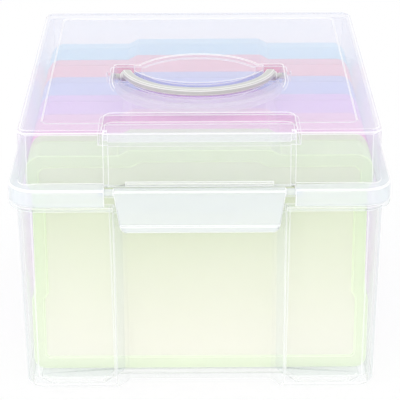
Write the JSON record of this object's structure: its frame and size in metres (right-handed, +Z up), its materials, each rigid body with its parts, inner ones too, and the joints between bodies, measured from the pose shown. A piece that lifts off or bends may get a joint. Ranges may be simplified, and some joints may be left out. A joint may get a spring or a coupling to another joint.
{
  "type": "photo storage case",
  "caption": "Clear box with hinged lid, front latch and folding handle, holding a row of tinted cases for prints on their long edge.",
  "frame": {"origin": "on the table, under the middle of the whole case", "axes": "+Z up, -Y towards the latch at the front, +X to the right seen from the front"},
  "size_m": [0.1876, 0.223, 0.1392],
  "materials": {
    "clear_base": "clear polypropylene, glossy, slightly milky",
    "clear_lid": "clear polypropylene, glossy, slightly milky",
    "frosted_latch": "milky polypropylene, glossy",
    "grey_handle": "semi-opaque pale grey polypropylene",
    "case_yellow_green": "tinted translucent polypropylene",
    "case_pink": "tinted translucent polypropylene",
    "case_lilac": "tinted translucent polypropylene",
    "case_blue": "tinted translucent polypropylene",
    "case_coral": "tinted translucent polypropylene",
    "case_aqua": "tinted translucent polypropylene"
  },
  "bodies": {
    "base": {"base_tub": "clear_base"},
    "lid": {"main_lid": "clear_lid"},
    "latch": {"front_latch": "frosted_latch"},
    "handle": {"carry_handle": "grey_handle"},
    "photo_case_1": {"photo_case_1_tray": "case_yellow_green", "photo_case_1_lid": "case_yellow_green"},
    "photo_case_2": {"photo_case_2_tray": "case_pink", "photo_case_2_lid": "case_pink"},
    "photo_case_3": {"photo_case_3_tray": "case_lilac", "photo_case_3_lid": "case_lilac"},
    "photo_case_4": {"photo_case_4_tray": "case_blue", "photo_case_4_lid": "case_blue"},
    "photo_case_5": {"photo_case_5_tray": "case_coral", "photo_case_5_lid": "case_coral"},
    "photo_case_6": {"photo_case_6_tray": "case_aqua", "photo_case_6_lid": "case_aqua"}
  },
  "joints": [
    {"name": "lid_hinge", "type": "hinge", "parent": "base", "child": "lid", "pos_m": [0, 0.1081, 0.1014], "axis": [-1, 0, 0], "range_deg": [0, 105]},
    {"name": "latch_hinge", "type": "hinge", "parent": "lid", "child": "latch", "pos_m": [0, -0.1074, 0.1087], "axis": [-1, 0, 0], "range_deg": [0, 100]},
    {"name": "handle_hinge", "type": "hinge", "parent": "lid", "child": "handle", "pos_m": [0, -0.0073, 0.1348], "axis": [-1, 0, 0], "range_deg": [0, 90]},
    {"name": "photo_case_1_lift", "type": "slide", "parent": "base", "child": "photo_case_1", "axis": [0, 0, 1], "range_m": [0, 0.0022]},
    {"name": "photo_case_2_lift", "type": "slide", "parent": "base", "child": "photo_case_2", "axis": [0, 0, 1], "range_m": [0, 0.0022]},
    {"name": "photo_case_3_lift", "type": "slide", "parent": "base", "child": "photo_case_3", "axis": [0, 0, 1], "range_m": [0, 0.0022]},
    {"name": "photo_case_4_lift", "type": "slide", "parent": "base", "child": "photo_case_4", "axis": [0, 0, 1], "range_m": [0, 0.0022]},
    {"name": "photo_case_5_lift", "type": "slide", "parent": "base", "child": "photo_case_5", "axis": [0, 0, 1], "range_m": [0, 0.0022]},
    {"name": "photo_case_6_lift", "type": "slide", "parent": "base", "child": "photo_case_6", "axis": [0, 0, 1], "range_m": [0, 0.0022]}
  ]
}
